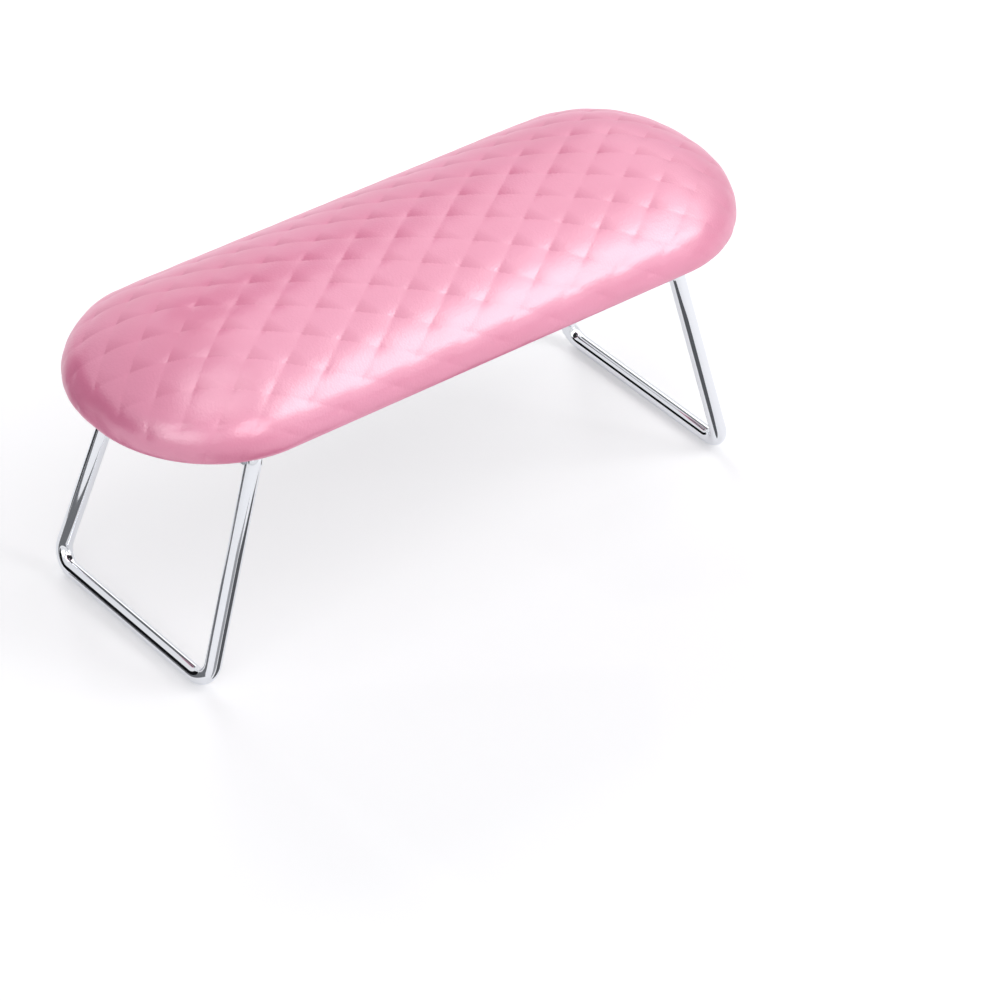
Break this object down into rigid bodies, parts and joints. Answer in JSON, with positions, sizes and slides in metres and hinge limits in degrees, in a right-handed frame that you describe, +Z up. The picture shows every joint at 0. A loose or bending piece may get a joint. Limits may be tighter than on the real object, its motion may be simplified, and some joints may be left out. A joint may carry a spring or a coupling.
{
  "type": "folding arm rest stand",
  "caption": "Long quilted arm rest cushion on two folding chromed rod legs, for tattoo and nail work.",
  "frame": {"origin": "on the floor under the middle of the cushion, both legs open", "axes": "+X along the cushion, +Y across it towards the rear edge, +Z up"},
  "size_m": [0.356, 0.13, 0.162],
  "materials": {
    "cover_leather": "quilted pink leathercloth with a satin gloss",
    "wadding": "white polyester wadding",
    "foam": "cream upholstery foam",
    "board_wood": "sanded plywood",
    "staple_steel": "galvanised wire",
    "lining_fabric": "black non-woven lining",
    "bracket_steel": "bright plated sheet steel",
    "bush_nylon": "natural nylon",
    "screw_steel": "zinc plated steel",
    "leg_chrome": "mirror chrome plating",
    "washer_steel": "zinc plated steel",
    "cap_steel": "bright plated steel"
  },
  "bodies": {
    "top": {"cushion_cover": "cover_leather", "quilt_wadding": "wadding", "foam_core": "foam", "base_board": "board_wood", "hem_staples": "staple_steel", "underside_lining": "lining_fabric", "lining_staples": "staple_steel", "bracket_screws": "screw_steel", "left_front_bracket": "bracket_steel", "left_front_bush": "bush_nylon", "left_rear_bracket": "bracket_steel", "left_rear_bush": "bush_nylon", "right_front_bracket": "bracket_steel", "right_front_bush": "bush_nylon", "right_rear_bracket": "bracket_steel", "right_rear_bush": "bush_nylon"},
    "left_leg": {"left_leg": "leg_chrome", "left_washers": "washer_steel", "left_end_caps": "cap_steel"},
    "right_leg": {"right_leg": "leg_chrome", "right_washers": "washer_steel", "right_end_caps": "cap_steel"}
  },
  "joints": [
    {"name": "left_leg_fold", "type": "hinge", "parent": "top", "child": "left_leg", "pos_m": [-0.122, 0, 0.11584], "axis": [0, -1, 0], "range_deg": [0, 106]},
    {"name": "right_leg_fold", "type": "hinge", "parent": "top", "child": "right_leg", "pos_m": [0.122, 0, 0.11584], "axis": [0, 1, 0], "range_deg": [0, 106]}
  ]
}
